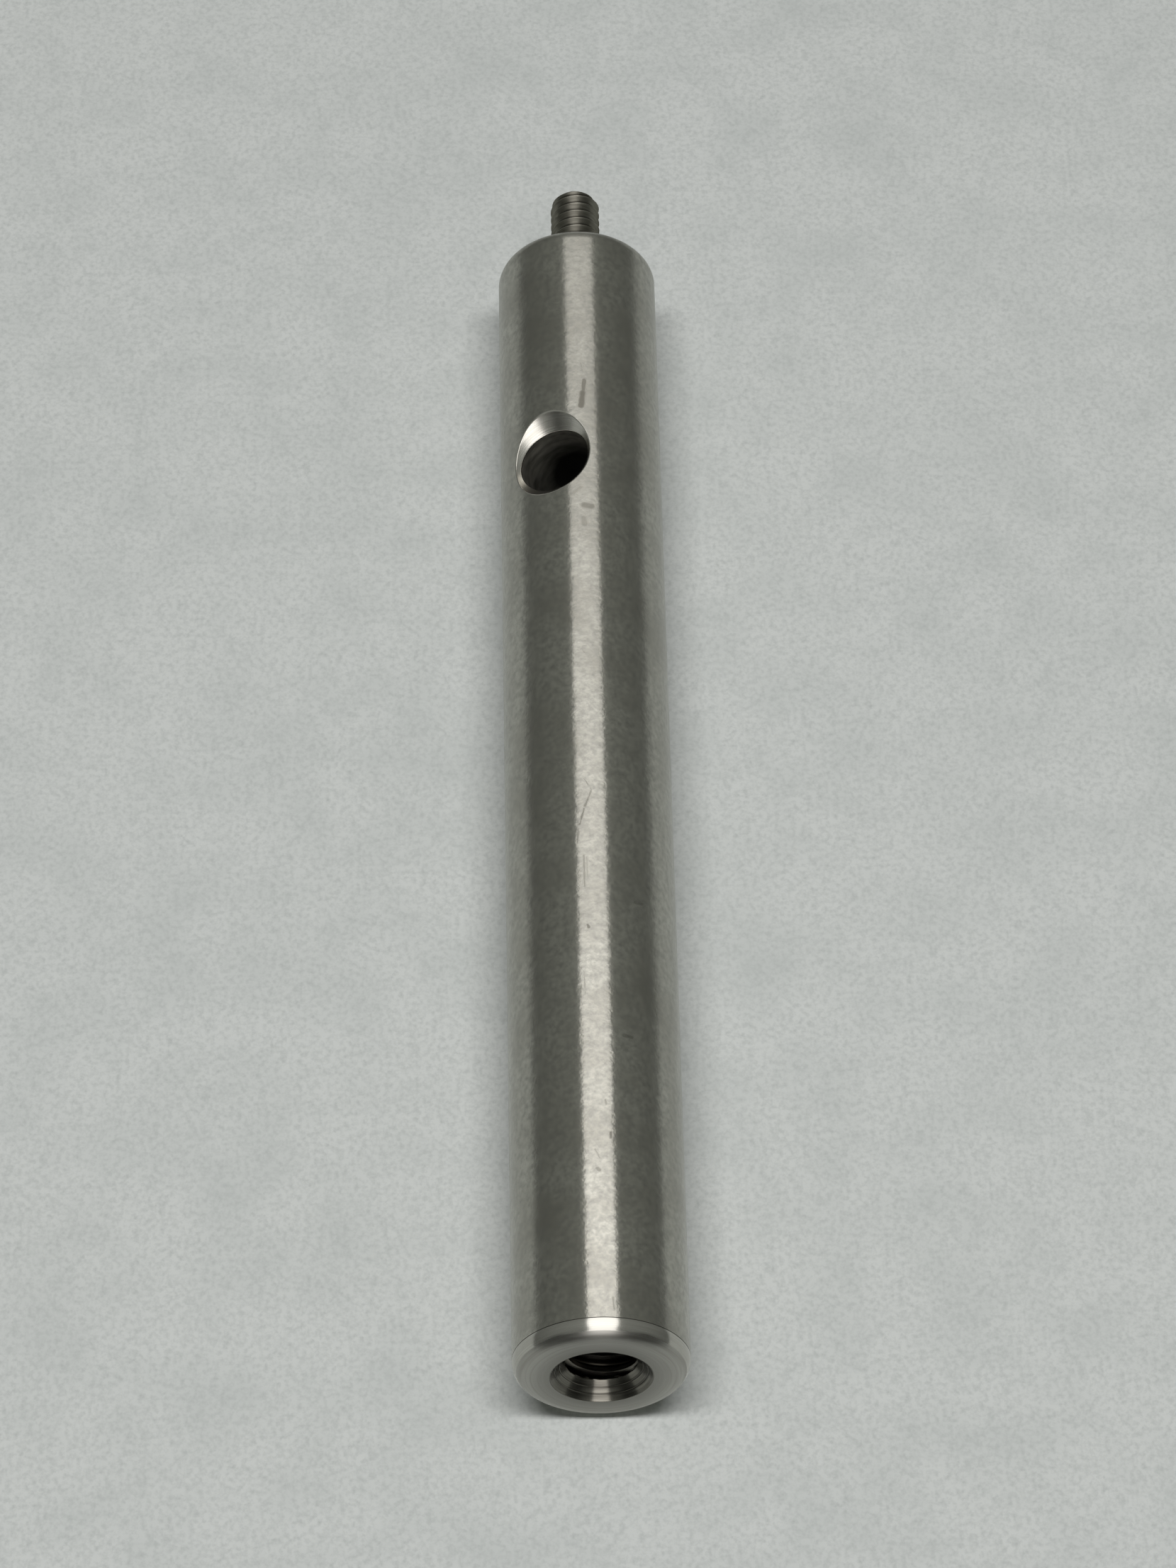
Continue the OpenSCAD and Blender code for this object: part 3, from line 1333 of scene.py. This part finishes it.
@dataclass(frozen=True)
class Lamp:
    """A lamp panel of the studio, which the camera doesn't see."""

    name: str
    # Where its middle is, across the long lamp, along the post and up from the bench
    place: tuple[float, float, float]
    # Half of its width and half of its length
    halves: tuple[float, float]
    radiance: float
    # What else it is hidden from
    hidden_from: Sight
    # Whether it hangs level and shines down, and not onto the bench
    level: bool = False
    colour: str = "#FFFCFC"

    def build(self, axes: Matrix) -> None:
        """Hang the lamp.

        Args:
            axes: the ways that its place is given in, as columns.
        """
        data = bpy.data.lights.new(self.name, "AREA")
        data.shape = "RECTANGLE"
        data.size, data.size_y = (2.0 * half * MM for half in self.halves)
        data.energy = math.pi * data.size * data.size_y * self.radiance
        data.color = linear(self.colour)[:3]
        lamp = bpy.data.objects.new(self.name, data)
        turn = axes @ LEVEL if self.level else axes
        lamp.matrix_world = Matrix.Translation(axes @ Vector(self.place) * MM) @ turn.to_4x4()
        hide(lamp, Sight.CAMERA, self.hidden_from)
        bpy.context.scene.collection.objects.link(lamp)


@dataclass
class Studio:
    """A pale bench behind the post, a pale floor under it, their lamps and a dim room.

    The long lamp and the cards are what the metal mirrors. A lamp of its own lights
    the bench and another the floor, so that the post has a short shadow on each.
    """

    # Azimuth of the side of the post that faces the lamp
    azimuth: float = 24.5
    # The bench touches the post and ends just in front of its base, and its clearance is
    # a little under the post's radius
    bench: Sheet = Sheet((0.0, -26.0, -6.35), (0.0, 2000.0, -6.35), 2000.0)
    bench_clearance: float = 6.3
    # The floor lies square to the frame
    floor: Sheet = Sheet((0.0, -10000.0, -0.2), (0.0, 10000.0, -0.2), 10000.0)
    floor_glow: float = 0.35
    long_lamp: Lamp = Lamp("lamp_panel", (38.0, -125.0, 1000.0), (342.0, 875.0), 2.08, Sight.MATT)
    # The lamp of the bench, behind the long lamp and wholly below the floor
    bench_lamp: Lamp = Lamp("bench_lamp", (0.0, -100.5, 1050.0), (450.0, 99.5), 15.5, Sight.METAL)
    # The lamp of the floor, high above and behind the bench, which it doesn't light
    floor_lamp: Lamp = Lamp("floor_lamp", (250.0, 1500.0, -500.0), (400.0, 400.0), 6.5, Sight.METAL, True)
    # The card that carries on where the long lamp ends, and widens
    apron: Sheet = Sheet((38.0, -1000.0, 1000.0), (38.0, -3000.0, 1000.0), 385.0, 1.7)
    # The lit card behind the bench
    fill: Sheet = Sheet((-38.0, -1500.0, -1000.0), (-38.0, -350.0, -1000.0), 260.0)
    fill_radiance: float = 0.6
    room_colour: str = "#FBFFF8"
    # The room's light away from the long lamp and towards it
    room_levels: tuple[float, float] = (0.165, 0.33)
    # How much darker the room is low in front of the base, and where that sets in: the
    # rise of a way and its share towards the lamp
    room_shade: float = 0.8
    shade_rise: tuple[float, float] = (-0.45, -0.65)
    shade_facing: tuple[float, float] = (0.5, 0.3)
    # What is added behind the bench, above the base, and where that sets in
    room_behind: float = 0.32
    behind_rise: tuple[float, float] = (-0.45, -0.35)
    behind_facing: tuple[float, float] = (-0.3, -0.9)
    # The share of it that falls on the bench and the floor, which have their own lamps
    room_on_bench: float = 0.3

    def build(self) -> None:
        """Make the bench, the floor, the cards, the lamps and the room."""
        angle = math.radians(self.azimuth)
        up = Vector((math.sin(angle), -math.cos(angle), 0.0))
        along = Vector((0.0, 0.0, 1.0))
        axes = Matrix((along.cross(up), along, up)).transposed()
        self.bench.build(Laminate("bench_laminate", clearance=self.bench_clearance), axes)
        ground = self.floor.build(Laminate("floor_laminate", glow=self.floor_glow), Matrix.Identity(3))
        # The base and the cross hole mirror the long lamp's light from below the floor
        hide(ground, Sight.METAL)
        hide(self.apron.build(Card("lit_apron", self.long_lamp.radiance), axes), Sight.CAMERA)
        hide(self.fill.build(Card("lit_card", self.fill_radiance), axes), Sight.CAMERA)
        for panel in (self.long_lamp, self.bench_lamp, self.floor_lamp):
            panel.build(axes)
        self.room(up)

    def room(self, up: Vector) -> None:
        """Light the room dimly: brightest towards the lamp, and dark low before the base.

        Args:
            up: the way from the post to the long lamp.
        """
        world = bpy.data.worlds.new("dim_room")
        world.use_nodes = True
        tree = world.node_tree
        tree.nodes.clear()
        way = put(tree, "TexCoord")["Generated"]
        facing = put(tree, "VectorMath", (way, up), operation="DOT_PRODUCT")["Value"]
        rise = put(tree, "SeparateXYZ", {"Vector": way})["Z"]
        matt = put(tree, "LightPath")["Is Diffuse Ray"]
        plain = (0.0, 1.0)
        ramps = [
            put(
                tree,
                "MapRange",
                {"Value": value, "From Min": ends[0], "From Max": ends[1], "To Min": low, "To Max": high},
                interpolation_type=kind,
            )[0]
            for value, ends, (low, high), kind in (
                (facing, plain, self.room_levels, "LINEAR"),
                (rise, self.shade_rise, plain, "SMOOTHSTEP"),
                (facing, self.shade_facing, (0.0, self.room_shade), "SMOOTHSTEP"),
                (facing, self.behind_facing, (0.0, self.room_behind), "SMOOTHSTEP"),
                (rise, self.behind_rise, plain, "LINEAR"),
                (matt, plain, (1.0, self.room_on_bench), "LINEAR"),
            )
        ]
        level, low, before, behind, above, share = ramps
        shade = put(tree, "Math", (low, before), operation="MULTIPLY")[0]
        shade = put(tree, "Math", (1.0, shade), operation="SUBTRACT")[0]
        level = put(tree, "Math", (level, shade), operation="MULTIPLY")[0]
        level = put(tree, "Math", (behind, above, level), operation="MULTIPLY_ADD")[0]
        level = put(tree, "Math", (level, share), operation="MULTIPLY")[0]
        light = put(tree, "Background", {"Color": linear(self.room_colour), "Strength": level})[0]
        put(tree, "OutputWorld", {"Surface": light})
        # The room then lights the metal only along rays that the bench can stop
        world.cycles.sampling_method = "NONE"
        bpy.context.scene.world = world


@dataclass
class Viewpoint:
    """The camera, held over the bench from the base end of the post."""

    place: tuple[float, float, float] = (127.820, -295.983, -173.252)
    right: tuple[float, float, float] = (0.89928, 0.43736, 0.00226)
    top: tuple[float, float, float] = (0.23253, -0.48247, 0.84448)
    forward: tuple[float, float, float] = (-0.37044, 0.75890, 0.53558)
    # Height on the axis of the post that the camera is turned to
    aim: float = 51.0
    lens: float = 157.8
    sensor: float = 36.0
    # Nearest and farthest that it sees, in metres
    clip: tuple[float, float] = (0.01, 50.0)

    def build(self) -> None:
        """Make the camera and set it as the scene's."""
        data = bpy.data.cameras.new("camera")
        data.lens = self.lens
        data.sensor_fit = "HORIZONTAL"
        data.sensor_width = self.sensor
        data.clip_start, data.clip_end = self.clip
        held = Matrix((self.right, self.top, tuple(-x for x in self.forward))).transposed()
        aimed = (Vector((0.0, 0.0, self.aim)) - Vector(self.place)).normalized()
        swing = Vector(self.forward).rotation_difference(aimed).to_matrix()
        camera = bpy.data.objects.new("camera", data)
        camera.matrix_world = Matrix.Translation(Vector(self.place) * MM) @ (swing @ held).to_4x4()
        bpy.context.scene.collection.objects.link(camera)
        bpy.context.scene.camera = camera


def report(piece: Object) -> None:
    """Log a piece's name and how many triangles it has."""
    triangles = sum(len(face.vertices) - 2 for face in piece.data.polygons)
    log.info("%s: %d triangles", piece.name, triangles)


def main() -> None:
    """Build the camera, the stage and the two pieces, and log their triangle counts."""
    logging.basicConfig(level=logging.INFO, format="%(name)s %(message)s")
    bpy.context.scene.view_settings.view_transform = "Standard"
    Viewpoint().build()
    Studio().build()
    post_finishes = {
        PostFinish.GROUND: GroundSteel(),
        PostFinish.RIM: FormTurnedSteel(),
        PostFinish.FACED: FacedSteel(),
        PostFinish.SUNK: SunkSteel(),
        PostFinish.CROSS_SUNK: CrossSunkSteel(),
        PostFinish.DRILLED: DrilledSteel(),
        PostFinish.TAPPED: TappedSteel(),
        PostFinish.TOOL_LINE_SHADE: ShadedToolLineSteel(),
    }
    screw_finishes = {
        ScrewFinish.ROLLED: RolledSteel(),
        ScrewFinish.BROACHED: BroachedSteel(),
    }
    report(Post().build([post_finishes[kind].material() for kind in PostFinish]))
    report(SetScrew().build([screw_finishes[kind].material() for kind in ScrewFinish]))


if __name__ == "__main__":
    main()
